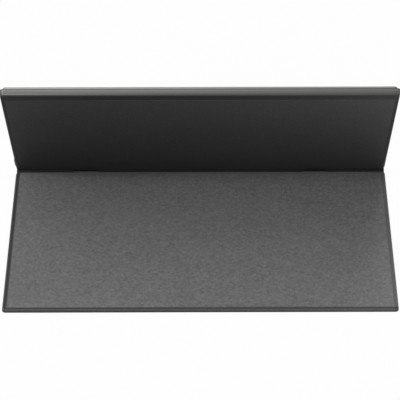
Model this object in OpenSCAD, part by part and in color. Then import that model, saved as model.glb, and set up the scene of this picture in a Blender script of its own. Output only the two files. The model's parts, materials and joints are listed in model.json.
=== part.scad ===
/* [Pose] */
// Angle between the monitor's back and the flap that it stands on, as photographed
lean = 48; // [30:1:80]

/* [Screen module] */
// Width of the screen's lit area
screen_w = 309.4; // [280:0.1:350]
// Height of the screen's lit area
screen_h = 174; // [150:0.5:200]
// Dark border of the cell past the lit area, sides and top
panel_edge = 1.6; // [1.6:0.1:3]
// Ledge of the cell below the lit area, where its flexes join
cell_ledge = 5.5; // [5:0.1:8]
// Thickness of the glass cell
cell_t = 1.1; // [0.8:0.1:1.4]
// Thickness of the stack of diffuser films
films_t = 0.4; // [0.3:0.05:0.6]
// Thickness of the light guide plate
guide_t = 1; // [0.9:0.1:2]
// Thickness of the reflector sheet
reflector_t = 0.2; // [0.1:0.05:0.3]
// Sheet thickness of the backlight tray
tray_t = 0.3; // [0.2:0.05:0.4]
// Wall of the plastic frame inside the tray
frame_t = 0.8; // [0.6:0.1:1]
// Distance between neighbouring light diodes
led_pitch = 8; // [6:0.5:16]
// Depth of the light diode strip behind the guide's edge
led_strip_v = 2; // [1.6:0.1:3]
// Thickness of the panel's driver board
driver_t = 0.6; // [0.5:0.1:1]
// Height of the panel's driver board
driver_h = 12; // [8:0.5:14]

/* [Monitor casing] */
// Wall of the rear housing round the sides
wall = 3; // [2.6:0.1:5]
// Thickness of the rear housing's back wall
back_wall = 1.4; // [1.2:0.1:1.8]
// Radius of the housing's back edges at its top and sides
housing_round = 2; // [1:0.1:2.2]
// Height of the ribs that carry the screen module
rib_h = 2.8; // [2.6:0.1:4]
// Thickness of those ribs
rib_t = 2; // [1.2:0.1:3]
// Corner radius of the housing, the bezel and the flap
corner_r = 3; // [2:0.1:3]
// Gap between the screen module and the housing's side walls
panel_gap = 1.2; // [0.6:0.1:3]
// Height of the board bay below the screen module
bay_h = 19.5; // [19.5:0.1:30]
// Depth of the front bezel
bezel_depth = 2.4; // [2.1:0.1:3]
// Step from the housing's outline in to the bezel's
bezel_in = 2.2; // [1.6:0.1:2.4]
// Thickness of the bezel's lip over the cell
lip_t = 0.9; // [0.7:0.1:1.2]
// Wall of the bezel's rim behind the lip
bezel_rim = 1.6; // [1.2:0.1:1.8]

/* [Cover panel on the monitor's back] */
// Thickness of the grained cover skin that is set into the monitor's back
skin_t = 0.7; // [0.6:0.05:0.8]
// Thickness of the adhesive sheet under that skin
adhesive_t = 0.1; // [0.05:0.05:0.2]
// How far that skin stands out of the housing's back
skin_proud = 0.2; // [0.1:0.05:0.3]
// Strip of bare housing above the skin
panel_drop = 12; // [6:0.5:30]
// Strip of bare housing at each side of the skin
panel_side = 2.2; // [2.2:0.1:6]
// Corner radius of the skin's two upper corners
panel_r = 1.5; // [1:0.1:6]

/* [Flap] */
// Thickness of the flap's grained outer skin
flap_skin_t = 0.75; // [0.6:0.05:1]
// Thickness of the flap's core board and of the hinge leaves in it
flap_core_t = 1.5; // [1.3:0.1:2.5]
// Thickness of the flap's soft lining
flap_lining_t = 0.75; // [0.5:0.05:1]
// Seam that the outer skin keeps round the lining
lining_in = 1.6; // [1:0.1:2.5]
// Distance from a skin's edge to its pressed line
press_in = 2.3; // [1.5:0.1:2.6]
// Width of the pressed line
press_w = 0.8; // [0.4:0.1:1.2]
// Depth of the pressed line
press_d = 0.35; // [0.1:0.05:0.4]

/* [Hinge] */
// Turn of the spine past square to the monitor, in towards its back, as photographed
spine_swing = 15; // [0:1:16]
// Gap between the closed flap and the monitor's front or back face
fold_gap = 0.6; // [0.5:0.1:2]
// Outer radius of the monitor leaves' knuckles
knuckle_r = 3; // [2.8:0.1:3.2]
// Radius of the pins in those knuckles
monitor_pin_r = 1.5; // [1:0.1:1.6]
// Radius of the pins in the flap leaves' knuckles
flap_pin_r = 0.75; // [0.6:0.05:0.8]
// Radial running clearance between a pin and its knuckle
pin_clear = 0.05; // [0.02:0.01:0.09]
// Gap between a knuckle and the edge that it turns past
knuckle_gap = 0.4; // [0.4:0.1:0.8]
// Sheet thickness of the monitor leaves
leaf_t = 1.2; // [0.8:0.1:1.3]
// Width of the monitor leaves
leaf_w = 24; // [24:1:28]
// Reach of the monitor leaves into the board bay
leaf_reach = 17; // [17:0.5:18]
// Width of the flap leaves
flap_leaf_w = 20; // [16:1:24]
// Reach of the flap leaves into the flap's core
flap_leaf_reach = 16; // [12:0.5:24]
// Distance from the monitor's side to the middle of each hinge
hinge_in = 60.5; // [60.5:0.5:64.5]
// Thickness of the washers beside each knuckle
washer_t = 0.25; // [0.2:0.05:0.4]
// Axial gap left beside each washer
washer_gap = 0.05; // [0.03:0.01:0.1]
// Length of pin held in the spine bar at each side of a knuckle
pin_hold = 8; // [5:0.5:12]
// Distance from the cover's sides in to the ends of the spine
spine_in = 0.5; // [0.5:0.5:8]
// Thickness of the caps on the spine's ends
cap_t = 0.8; // [0.6:0.1:1.5]

/* [Sockets, keys and boards] */
// Width of a power and picture socket's shell
socket_w = 8.94; // [8.6:0.02:9.2]
// Thickness of that shell from face to face
socket_t = 3.26; // [3:0.02:3.4]
// Depth of that shell
socket_depth = 7.2; // [6.5:0.1:8]
// Sheet thickness of that shell
socket_wall = 0.3; // [0.2:0.05:0.4]
// How far the sockets' mouths lie inside the housing's side
socket_recess = 0.3; // [0.1:0.1:1]
// Distance between the middles of the two sockets
socket_pitch = 9.7; // [9.6:0.1:10.2]
// Length of a key along the housing's side
key_l = 4.4; // [3:0.1:5]
// Width of a key
key_w = 2.2; // [1.4:0.1:2.6]
// How far a key stands out of the housing at rest
key_proud = 0.6; // [0.55:0.05:1]
// Travel of a key
key_travel = 0.5; // [0.2:0.05:0.5]
// Distance between the middles of neighbouring keys
key_pitch = 6; // [5.8:0.1:6.4]
// Radius of a key's stem
stem_r = 0.45; // [0.3:0.05:0.6]
// Thickness of the circuit boards
pcb_t = 0.8; // [0.6:0.1:1]
// Thickness of the flat cables
flex_t = 0.3; // [0.1:0.05:0.3]
// Length of the closing magnets
magnet_l = 12; // [8:1:20]
// Width of the closing magnets
magnet_w = 2.6; // [2:0.1:3]
// Thickness of the closing magnets in the monitor
magnet_t = 2; // [1:0.1:2.5]
// Radius of the rubber bumpers on the bezel
bumper_r = 1.4; // [1:0.1:1.6]
// How far the bumpers stand out of the bezel
bumper_proud = 0.3; // [0.1:0.05:0.4]
// Radius of the status light pipe
pipe_r = 0.7; // [0.4:0.1:1.2]

/* [Hidden] */
$fn = 48;

charcoal = [0.16, 0.16, 0.165];
dark_plastic = [0.13, 0.13, 0.135];
board_green = [0.05, 0.25, 0.15];
steel = [0.62, 0.63, 0.65];
amber = [0.65, 0.4, 0.15];

cut = 1;              // how far a cut runs past the face that it opens
fit = 0.1;            // side clearance of a piece that lies in its own recess
slide_fit = 0.1;      // clearance round a key in the housing
slot_fit = 0.2;       // clearance round a hinge leaf in the housing's slot
inner_r = 1;          // corner radius inside the housing
part_gap = 2;         // distance kept between neighbouring parts of a board
socket_seat = 0.12;   // height of a socket's shell above the housing's back wall

// Monitor's own frame: x to the right as the screen is seen, y up from the bottom edge, z from back to front.
floor_z = skin_proud + back_wall;
tape_t = 0.2;
tray_z = floor_z + rib_h + tape_t;
reflector_z = tray_z + tray_t;
guide_z = reflector_z + reflector_t;
films_z = guide_z + guide_t;
cell_z = films_z + films_t;
lip_z = cell_z + cell_t;
monitor_t = lip_z + lip_t;
seam_z = monitor_t - bezel_depth;
port_z = floor_z + socket_seat + socket_t / 2;

tray_rim = 0.4;
magnet_gap = 0.4;
top_border = panel_edge + magnet_w + 2 * magnet_gap + wall;
monitor_w = screen_w + 2 * (panel_edge + panel_gap + wall);
bay_top = wall + bay_h;
screen_y = bay_top + cell_ledge;
monitor_h = screen_y + screen_h + top_border;
half_w = monitor_w / 2;
panel_half = screen_w / 2 + panel_edge;
panel_top = screen_y + screen_h + panel_edge;
frame_half = panel_half - tray_rim - fit;
guide_half = frame_half - frame_t - fit;
guide_top = panel_top - tray_rim - fit - frame_t - fit;
strip_y = bay_top + tray_rim + fit + frame_t + fit;
guide_y = strip_y + led_strip_v + fit;
cell_flex_t = min(0.2, flex_t);

// Flap's frame is the part's own: flat on its lining, free edge towards -y, hinge edge towards +y.
flap_t = flap_skin_t + flap_core_t + flap_lining_t;
flap_knuckle_r = flap_t / 2;
flap_edge_gap = flap_knuckle_r + 0.6;
axis_drop = knuckle_r + knuckle_gap;
flap_d = monitor_h + axis_drop - flap_edge_gap;
axis_gap = monitor_t / 2 + fold_gap + flap_knuckle_r;
flap_axis_y = flap_d / 2 + flap_edge_gap;
flap_axis_z = flap_t / 2;
bar_angle = lean + spine_swing;
monitor_axis_y = flap_axis_y + axis_gap * sin(bar_angle);
monitor_axis_z = flap_axis_z + axis_gap * cos(bar_angle);

hinge_x = half_w - hinge_in;
leaf_z = seam_z - slot_fit - leaf_t;
leaf_boss_r = 2.2;
leaf_screw_r = 0.9;
leaf_screw_in = 4;
leaf_screw_pitch = 10;
leaf_screw_dx = leaf_w / 2 - leaf_screw_in;
leaf_screw_ys = [wall + leaf_screw_in, wall + leaf_screw_in + leaf_screw_pitch];
leaf_head_r = 1.9;
leaf_head_t = 0.9;
screw_tip = 0.4;      // gap from a screw's tip to the housing's back wall

bar_r = knuckle_r - 0.1;
bar_turn = asin((bar_r - flap_knuckle_r) / axis_gap);
bar_half = half_w - spine_in - cap_t;
window_gap = washer_t + washer_gap;
window_clear = 0.3;
flap_window_clear = 0.5;
washer_r = bar_r - 0.3;
flap_washer_r = flap_knuckle_r - 0.2;

socket_y = wall + 0.4 + socket_w / 2;
socket_x = -half_w + socket_recess;
board_x = socket_x + socket_depth;
board_w = 40;
board_y = wall + 0.6;
board_h = 18;
board_z = port_z - 0.85;
board_screw_r = 0.8;
board_boss_r = 1.8;
board_head_r = 1.5;
board_head_t = 0.8;
board_screw_ys = [board_y + 3.4, board_y + board_h - 3.2];
board_screw_x = board_x + board_w - 3.5;
connector_h = 3;
connector_in = 3;
cable_w = 12;
cable_x = board_screw_x - board_head_r - part_gap - cable_w / 2;
cable_y = board_y + board_h - connector_in - connector_h;
shield_in = 3;
shield_w = cable_x - cable_w / 2 - part_gap - (board_x + shield_in);
shield_h = 15;
shield_t = 1.6;
shield_sheet = 0.3;

flange_t = 0.8;
flange_rim = 0.5;
flange_x = half_w - wall - fit - flange_t;
switch_gap = key_travel + fit;
switch_x = flange_x - switch_gap;
switch_l = 3.6;
switch_w = 4.2;
switch_t = 1.8;
stem_l = switch_gap + 1.3;
stem_bore_r = stem_r + 0.05;
stem_bore_l = stem_l + fit;
switch_floor = 0.15;
key_z = port_z;
key_board_z = key_z - stem_bore_r - switch_floor - pcb_t;
key_board_w = 16;
key_y = wall + 3.6;
key_board_x = switch_x - key_board_w;
key_screw_x = key_board_x + 3;
lamp_x = key_board_x + key_board_w / 2;
lamp_y = key_y + key_pitch;
lamp_t = 0.6;
pipe_collar_r = pipe_r + 0.6;
pipe_collar_t = 0.6;

flex_w = 4;
flex_y = (leaf_screw_ys[0] + leaf_screw_ys[1] - flex_w) / 2;
flex_x0 = board_x + board_w - 8;
flex_x1 = key_board_x + 2.5;
flex_z = key_board_z - flex_t;

driver_in = 21;
driver_half = panel_half - driver_in;
driver_y = bay_top + 1.5;
cell_flex_w = 36;
cell_flex_xs = [-80, 0, 80];
rib_y0 = driver_y + driver_h + 4;
rib_y1 = guide_top - 4;
rib_in = 10;
rib_rows = 5;
rib_cols = 5;
rib_row_step = (rib_y1 - rib_y0) / (rib_rows - 1);
rib_col_step = 2 * (guide_half - rib_in) / (rib_cols - 1);
magnet_xs = [-120, -60, 60, 120];
magnet_y = monitor_h - wall - magnet_gap - magnet_w;
magnet_z = seam_z - magnet_t;
sight = 0.3;          // gap between the bezel's lip and the lit area
bumper_sink = 0.3;
bumper_in = 1.5;
bumper_x = half_w - bezel_in - bumper_r - bumper_in;
bumper_ys = [bezel_in + bumper_r + bumper_in, (screen_y + screen_h + sight + monitor_h - bezel_in) / 2];

rivet_r = 1.5;
rivet_dx = 6;
rivet_reach = flap_leaf_reach - rivet_r - 2;
core_in = 3;
flap_magnet_y = flap_axis_y - (magnet_y + axis_drop) - magnet_w;

module at_monitor() {
    translate([0, monitor_axis_y, monitor_axis_z])
        rotate([lean, 0, 180])
            translate([0, axis_drop, -monitor_t / 2])
                children();
}

module along_x(x0, x1) {
    translate([x0, 0, 0])
        rotate([90, 0, 90])
            linear_extrude(x1 - x0)
                children();
}

module round_rect(x0, y0, x1, y1, r) {
    translate([x0 + r, y0]) square([x1 - x0 - 2 * r, y1 - y0]);
    translate([x0, y0 + r]) square([x1 - x0, y1 - y0 - 2 * r]);
    for (x = [x0 + r, x1 - r])
        for (y = [y0 + r, y1 - r])
            translate([x, y]) circle(r);
}

module block(x0, x1, y0, y1, z0, z1) {
    translate([x0, y0, z0]) cube([x1 - x0, y1 - y0, z1 - z0]);
}

module slab(x0, x1, y0, y1, z0, z1, r) {
    translate([0, 0, z0]) linear_extrude(z1 - z0) round_rect(x0, y0, x1, y1, r);
}

module slot_shape(w, t) {
    translate([-(w - t) / 2, -t / 2]) square([w - t, t]);
    for (side = [-1, 1])
        translate([side * (w - t) / 2, 0]) circle(t / 2);
}

// A pressed line round a skin, as a frame that the skin is cut by.
module pressed_line(half, y0, y1, z0, z1) {
    outer = press_in;
    inner = press_in + press_w;
    difference() {
        slab(-half + outer, half - outer, y0 + outer, y1 - outer, z0, z1, corner_r / 2);
        slab(-half + inner, half - inner, y0 + inner, y1 - inner, z0 - cut, z1 + cut, corner_r / 2);
    }
}

// ---- cover panel on the monitor's back ----

// The panel's outline, grown by `clear`: two round upper corners, and `below` longer past the hinge edge.
module panel_shape(clear, below) {
    x1 = half_w - panel_side + clear;
    y1 = monitor_h - panel_drop + clear;
    r = panel_r + clear;
    translate([-x1 + r, -below]) square([2 * (x1 - r), y1 + below]);
    translate([-x1, -below]) square([2 * x1, y1 - r + below]);
    for (x = [-x1 + r, x1 - r])
        translate([x, y1 - r]) circle(r);
}

module back_skin() {
    color(charcoal) at_monitor() linear_extrude(skin_t) panel_shape(0, 0);
}

module back_adhesive() {
    x1 = half_w - panel_side - lining_in;
    color("gainsboro") at_monitor()
        slab(-x1, x1, lining_in, monitor_h - panel_drop - lining_in, skin_t, skin_t + adhesive_t, inner_r);
}

// ---- casing ----

// The housing's outline from back to front, with rounded back edges at x1 and, where `both`, at x0.
module rounded_back(x0, x1, both) {
    r = housing_round;
    left = both ? x0 + r : x0;
    translate([left, skin_proud]) square([x1 - r - left, seam_z - skin_proud]);
    translate([x0, skin_proud + r]) square([x1 - x0, seam_z - skin_proud - r]);
    translate([x1 - r, skin_proud + r]) circle(r);
    if (both)
        translate([left, skin_proud + r]) circle(r);
}

// Square at the hinge edge, rounded at the other back edges, with a shallow bed for the skin.
module housing_body() {
    difference() {
        intersection() {
            slab(-half_w, half_w, 0, monitor_h, skin_proud - cut, seam_z + cut, corner_r);
            along_x(-half_w - cut, half_w + cut) rounded_back(0, monitor_h, false);
            translate([0, monitor_h + cut, 0])
                rotate([90, 0, 0])
                    linear_extrude(monitor_h + 2 * cut)
                        rounded_back(-half_w, half_w, true);
        }
        translate([0, 0, skin_proud - cut]) linear_extrude(cut + skin_t + adhesive_t - skin_proud)
            panel_shape(fit, cut);
    }
}

module housing_ribs() {
    for (i = [0 : rib_rows - 1])
        block(-guide_half, guide_half, rib_y0 + i * rib_row_step, rib_y0 + i * rib_row_step + rib_t,
            floor_z, floor_z + rib_h);
    for (i = [0 : rib_cols - 1]) {
        x = -guide_half + rib_in + i * rib_col_step;
        block(x - rib_t / 2, x + rib_t / 2, rib_y0, rib_y1, floor_z, floor_z + rib_h);
    }
}

module boss(x, y, r, top) {
    translate([x, y, floor_z]) cylinder(h = top - floor_z, r = r);
}

module screw_hole(x, y, r) {
    translate([x, y, floor_z]) cylinder(h = seam_z, r = r);
}

module housing_bosses() {
    for (side = [-1, 1], dx = [-leaf_screw_dx, leaf_screw_dx], y = leaf_screw_ys)
        boss(side * hinge_x + dx, y, leaf_boss_r, leaf_z);
    for (y = board_screw_ys) {
        boss(board_screw_x, y, board_boss_r, board_z);
        boss(key_screw_x, y, board_boss_r, key_board_z);
    }
    for (x = magnet_xs)
        block(x - magnet_l / 2, x + magnet_l / 2, magnet_y, monitor_h - wall + fit, floor_z, magnet_z);
}

module housing_holes() {
    for (side = [-1, 1]) {
        block(side * hinge_x - leaf_w / 2 - slot_fit, side * hinge_x + leaf_w / 2 + slot_fit,
            -cut, wall + cut, leaf_z - slot_fit, seam_z + cut);
        for (dx = [-leaf_screw_dx, leaf_screw_dx], y = leaf_screw_ys)
            screw_hole(side * hinge_x + dx, y, leaf_screw_r);
    }
    for (y = board_screw_ys) {
        screw_hole(board_screw_x, y, board_screw_r);
        screw_hole(key_screw_x, y, board_screw_r);
    }
    for (y = [socket_y, socket_y + socket_pitch])
        translate([0, y, port_z]) along_x(-half_w - cut, -half_w + wall + cut)
            slot_shape(socket_w + 2 * fit, socket_t + 2 * fit);
    for (i = [0 : 2])
        translate([0, key_y + i * key_pitch, key_z]) along_x(half_w - wall - cut, half_w + cut)
            slot_shape(key_l + 2 * slide_fit, key_w + 2 * slide_fit);
}

module rear_housing() {
    color(dark_plastic) at_monitor() difference() {
        union() {
            difference() {
                housing_body();
                slab(-half_w + wall, half_w - wall, wall, monitor_h - wall, floor_z, seam_z + cut, inner_r);
            }
            housing_ribs();
            housing_bosses();
        }
        housing_holes();
    }
}

module front_bezel() {
    pocket = half_w - bezel_in - bezel_rim;
    color(dark_plastic) at_monitor() difference() {
        slab(-half_w + bezel_in, half_w - bezel_in, bezel_in, monitor_h - bezel_in, seam_z, monitor_t, corner_r);
        slab(-pocket, pocket, bezel_in + bezel_rim, panel_top + magnet_gap, seam_z - cut, lip_z, inner_r);
        block(-screen_w / 2 - sight, screen_w / 2 + sight, screen_y - sight, screen_y + screen_h + sight,
            seam_z, monitor_t + cut);
        for (side = [-1, 1], y = bumper_ys)
            translate([side * bumper_x, y, monitor_t - bumper_sink]) cylinder(h = bumper_sink + cut, r = bumper_r);
        translate([lamp_x, lamp_y, seam_z]) cylinder(h = bezel_depth + cut, r = pipe_r);
    }
}

module bezel_bumpers() {
    color("black") at_monitor()
        for (side = [-1, 1], y = bumper_ys)
            translate([side * bumper_x, y, monitor_t - bumper_sink])
                cylinder(h = bumper_sink + bumper_proud, r = bumper_r);
}

// ---- screen module ----

module display_cell() {
    color([0.02, 0.02, 0.025]) at_monitor()
        block(-panel_half, panel_half, bay_top, panel_top, cell_z, lip_z);
}

module diffuser_films() {
    color("white") at_monitor()
        block(-guide_half, guide_half, strip_y, guide_top, films_z, cell_z);
}

module light_guide() {
    color([0.85, 0.92, 0.95]) at_monitor()
        block(-guide_half, guide_half, guide_y, guide_top, guide_z, films_z);
}

module reflector_sheet() {
    color("white") at_monitor()
        block(-guide_half, guide_half, strip_y, guide_top, reflector_z, guide_z);
}

module led_strip() {
    led_n = floor(2 * guide_half / led_pitch);
    led_w = 3.8;
    strip_t = 0.6;
    color("gold") at_monitor() {
        block(-guide_half, guide_half, strip_y, strip_y + strip_t, guide_z, films_z);
        for (i = [0 : led_n - 1])
            block((i - (led_n - 1) / 2) * led_pitch - led_w / 2, (i - (led_n - 1) / 2) * led_pitch + led_w / 2,
                strip_y, strip_y + led_strip_v, guide_z, films_z - fit);
    }
}

module panel_frame() {
    y0 = bay_top + tray_rim + fit;
    y1 = panel_top - tray_rim - fit;
    color("whitesmoke") at_monitor() difference() {
        block(-frame_half, frame_half, y0, y1, reflector_z, cell_z);
        block(-frame_half + frame_t, frame_half - frame_t, y0 + frame_t, y1 - frame_t,
            reflector_z - cut, cell_z + cut);
    }
}

module backlight_tray() {
    color(steel) at_monitor() difference() {
        block(-panel_half, panel_half, bay_top, panel_top, tray_z, cell_z);
        block(-panel_half + tray_rim, panel_half - tray_rim, bay_top + tray_rim, panel_top - tray_rim,
            reflector_z, cell_z + cut);
    }
}

module panel_tape() {
    color("white") at_monitor()
        for (i = [0 : rib_rows - 1])
            block(-guide_half, guide_half, rib_y0 + i * rib_row_step, rib_y0 + i * rib_row_step + rib_t,
                tray_z - tape_t, tray_z);
}

module driver_board() {
    color(board_green) at_monitor()
        block(-driver_half, driver_half, driver_y, driver_y + driver_h, tray_z - driver_t, tray_z);
}

// Each flex hangs down the cell's edge and turns in under the driver board.
module cell_flex() {
    under = tray_z - driver_t;
    reach = driver_y + 2;
    color(amber) at_monitor()
        for (x = cell_flex_xs)
            along_x(x - cell_flex_w / 2, x + cell_flex_w / 2)
                polygon([[bay_top, lip_z - 0.2], [bay_top - cell_flex_t, lip_z - 0.2],
                    [bay_top - cell_flex_t, under - cell_flex_t], [reach, under - cell_flex_t],
                    [reach, under], [bay_top, under]]);
}

module panel_cable() {
    under = tray_z - driver_t;
    color("white") at_monitor()
        block(cable_x - cable_w / 2, cable_x + cable_w / 2, cable_y, driver_y + 4, under - flex_t, under);
}

// ---- electronics ----

module main_board() {
    top = board_z + pcb_t;
    color(board_green) at_monitor() difference() {
        union() {
            block(board_x, board_x + board_w, board_y, board_y + board_h, board_z, top);
            block(cable_x - cable_w / 2, cable_x + cable_w / 2, cable_y, cable_y + connector_h,
                board_z, tray_z - driver_t - flex_t);
            block(flex_x0, flex_x0 + connector_h, flex_y, flex_y + flex_w, flex_z + flex_t, top);
        }
        for (y = board_screw_ys)
            translate([board_screw_x, y, board_z - cut]) cylinder(h = pcb_t + 2 * cut, r = board_screw_r);
    }
}

module board_shield() {
    x0 = board_x + shield_in;
    y0 = board_y + shield_in / 2;
    z0 = board_z + pcb_t;
    color(steel) at_monitor() difference() {
        block(x0, x0 + shield_w, y0, y0 + shield_h, z0, z0 + shield_t);
        block(x0 + shield_sheet, x0 + shield_w - shield_sheet, y0 + shield_sheet, y0 + shield_h - shield_sheet,
            z0 - cut, z0 + shield_t - shield_sheet);
    }
}

// A reversible power and picture socket: a flat-oval shell, closed at its back, with a tongue down the middle.
module socket(y) {
    back_t = 1.2;
    tongue_w = 6.7;
    tongue_t = 0.7;
    tongue_l = socket_depth - 1.6;
    color(steel) at_monitor() translate([socket_x, y, port_z]) {
        difference() {
            along_x(0, socket_depth) slot_shape(socket_w, socket_t);
            along_x(-cut, socket_depth - back_t)
                slot_shape(socket_w - 2 * socket_wall, socket_t - 2 * socket_wall);
        }
        block(socket_depth - tongue_l, socket_depth - back_t, -tongue_w / 2, tongue_w / 2,
            -tongue_t / 2, tongue_t / 2);
    }
}

module lower_socket() socket(socket_y);

module upper_socket() socket(socket_y + socket_pitch);

module key_board() {
    top = key_board_z + pcb_t;
    lamp_half = 0.8;
    color(board_green) at_monitor() difference() {
        union() {
            block(key_board_x, switch_x, board_y, board_y + board_h, key_board_z, top);
            block(lamp_x - lamp_half, lamp_x + lamp_half, lamp_y - lamp_half, lamp_y + lamp_half,
                key_board_z, top + lamp_t);
        }
        for (y = board_screw_ys)
            translate([key_screw_x, y, key_board_z - cut]) cylinder(h = pcb_t + 2 * cut, r = board_screw_r);
    }
}

module key_switches() {
    top = key_board_z + pcb_t;
    color([0.1, 0.1, 0.1]) at_monitor()
        for (i = [0 : 2])
            difference() {
                block(switch_x - switch_l, switch_x, key_y + i * key_pitch - switch_w / 2,
                    key_y + i * key_pitch + switch_w / 2, top, top + switch_t);
                translate([switch_x + cut, key_y + i * key_pitch, key_z]) rotate([0, -90, 0])
                    cylinder(h = stem_bore_l - switch_gap + key_travel + cut, r = stem_bore_r);
            }
}

module key_flex() {
    color(amber) at_monitor()
        block(flex_x0, flex_x1, flex_y, flex_y + flex_w, flex_z, flex_z + flex_t);
}

module light_pipe() {
    z0 = key_board_z + pcb_t + lamp_t;
    color("white") at_monitor() translate([lamp_x, lamp_y, 0]) {
        translate([0, 0, z0]) cylinder(h = monitor_t - z0, r = pipe_r);
        translate([0, 0, lip_z - pipe_collar_t]) cylinder(h = pipe_collar_t, r = pipe_collar_r);
    }
}

module screw(x, y, seat, r, head_r, head_t) {
    translate([x, y, floor_z + screw_tip]) cylinder(h = seat - floor_z - screw_tip, r = r);
    translate([x, y, seat]) cylinder(h = head_t, r = head_r);
}

module board_screws() {
    color(steel) at_monitor()
        for (y = board_screw_ys) {
            screw(board_screw_x, y, board_z + pcb_t, board_screw_r, board_head_r, board_head_t);
            screw(key_screw_x, y, key_board_z + pcb_t, board_screw_r, board_head_r, board_head_t);
        }
}

module leaf_screws() {
    color(steel) at_monitor()
        for (side = [-1, 1], dx = [-leaf_screw_dx, leaf_screw_dx], y = leaf_screw_ys)
            screw(side * hinge_x + dx, y, leaf_z + leaf_t, leaf_screw_r, leaf_head_r, leaf_head_t);
}

module closing_magnets() {
    color(steel) at_monitor()
        for (x = magnet_xs)
            block(x - magnet_l / 2, x + magnet_l / 2, magnet_y, magnet_y + magnet_w, magnet_z, seam_z);
}

// One key: its face through the housing's side, a flange that holds it in, and a stem into its switch.
module key(i) {
    flange_l = key_l + 2 * flange_rim;
    color(dark_plastic) at_monitor() translate([0, key_y + i * key_pitch, key_z]) {
        along_x(flange_x, half_w + key_proud) slot_shape(key_l, key_w);
        along_x(flange_x, flange_x + flange_t) slot_shape(flange_l, key_w + 2 * flange_rim);
        translate([flange_x - stem_l, 0, 0]) rotate([0, 90, 0]) cylinder(h = stem_l + fit, r = stem_r);
    }
}

module power_key() key(0);

module dimmer_key() key(1);

module brighter_key() key(2);

// ---- hinges and spine ----

// The leaf's plate runs from its knuckle into the board bay.
module monitor_leaf(side) {
    x = side * hinge_x;
    color(steel) at_monitor() difference() {
        union() {
            translate([0, -axis_drop, monitor_t / 2]) along_x(x - leaf_w / 2, x + leaf_w / 2) circle(knuckle_r);
            block(x - leaf_w / 2, x + leaf_w / 2, -axis_drop, wall + leaf_reach, leaf_z, leaf_z + leaf_t);
        }
        translate([0, -axis_drop, monitor_t / 2])
            along_x(x - leaf_w / 2 - cut, x + leaf_w / 2 + cut) circle(monitor_pin_r + pin_clear);
        for (dx = [-leaf_screw_dx, leaf_screw_dx], y = leaf_screw_ys)
            translate([x + dx, y, leaf_z - cut]) cylinder(h = leaf_t + 2 * cut, r = leaf_screw_r);
    }
}

module monitor_leaf_left() monitor_leaf(-1);

module monitor_leaf_right() monitor_leaf(1);

// Places children on an axis, as profiles that run along x.
module on_monitor_axis() {
    translate([0, monitor_axis_y, monitor_axis_z]) children();
}

module on_flap_axis() {
    translate([0, flap_axis_y, flap_axis_z]) children();
}

// Round at both axes, with flat sides tangent to both rounds. The y axis here runs from the flap's axis
// to the monitor's.
module spine_profile() {
    rotate(-bar_angle) {
        translate([0, axis_gap]) circle(bar_r);
        circle(flap_knuckle_r);
        polygon([
            [flap_knuckle_r * cos(bar_turn), -flap_knuckle_r * sin(bar_turn)],
            [bar_r * cos(bar_turn), axis_gap - bar_r * sin(bar_turn)],
            [-bar_r * cos(bar_turn), axis_gap - bar_r * sin(bar_turn)],
            [-flap_knuckle_r * cos(bar_turn), -flap_knuckle_r * sin(bar_turn)]]);
    }
}

module spine_bar() {
    color(dark_plastic) difference() {
        on_flap_axis() along_x(-bar_half, bar_half) spine_profile();
        for (side = [-1, 1]) {
            x = side * hinge_x;
            on_monitor_axis() {
                along_x(x - leaf_w / 2 - window_gap, x + leaf_w / 2 + window_gap)
                    circle(knuckle_r + window_clear);
                along_x(x - leaf_w / 2 - pin_hold, x + leaf_w / 2 + pin_hold) circle(monitor_pin_r);
            }
            on_flap_axis() {
                along_x(x - flap_leaf_w / 2 - window_gap, x + flap_leaf_w / 2 + window_gap)
                    circle(flap_knuckle_r + flap_window_clear);
                along_x(x - flap_leaf_w / 2 - pin_hold, x + flap_leaf_w / 2 + pin_hold) circle(flap_pin_r);
            }
        }
    }
}

module spine_caps() {
    color(dark_plastic) on_flap_axis()
        for (side = [-1, 1])
            along_x(min(side * bar_half, side * (bar_half + cap_t)), max(side * bar_half, side * (bar_half + cap_t)))
                spine_profile();
}

module monitor_pins() {
    color(steel) on_monitor_axis()
        for (side = [-1, 1])
            along_x(side * hinge_x - leaf_w / 2 - pin_hold, side * hinge_x + leaf_w / 2 + pin_hold)
                circle(monitor_pin_r);
}

module flap_pins() {
    color(steel) on_flap_axis()
        for (side = [-1, 1])
            along_x(side * hinge_x - flap_leaf_w / 2 - pin_hold, side * hinge_x + flap_leaf_w / 2 + pin_hold)
                circle(flap_pin_r);
}

// Washers lie on the spine bar's faces, at both sides of each knuckle.
module washers(knuckle_w, outer_r, bore_r) {
    face = knuckle_w / 2 + window_gap;
    for (x = [-hinge_x, hinge_x], side = [-1, 1])
        along_x(x + min(side * face, side * (face - washer_t)), x + max(side * face, side * (face - washer_t)))
            difference() {
                circle(outer_r);
                circle(bore_r);
            }
}

module monitor_washers() {
    color("gray") on_monitor_axis() washers(leaf_w, washer_r, monitor_pin_r);
}

module flap_washers() {
    color("gray") on_flap_axis() washers(flap_leaf_w, flap_washer_r, flap_pin_r);
}

// ---- flap ----

module leaf_room(clear, z0, z1) {
    for (side = [-1, 1])
        block(side * hinge_x - flap_leaf_w / 2 - clear, side * hinge_x + flap_leaf_w / 2 + clear,
            flap_axis_y - flap_leaf_reach - clear, flap_d / 2 + cut, z0, z1);
}

module flap_skin() {
    core_z = flap_lining_t;
    color(charcoal) difference() {
        slab(-half_w, half_w, -flap_d / 2, flap_d / 2, 0, flap_t, corner_r);
        slab(-half_w + core_in, half_w - core_in, -flap_d / 2 + core_in, flap_d / 2 - core_in,
            core_z - fit, core_z + flap_core_t, inner_r);
        slab(-half_w + lining_in, half_w - lining_in, -flap_d / 2 + lining_in, flap_d / 2 - lining_in,
            -cut, core_z, inner_r);
        leaf_room(fit, core_z, core_z + flap_core_t);
        pressed_line(half_w, -flap_d / 2, flap_d / 2, flap_t - press_d, flap_t + cut);
    }
}

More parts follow.
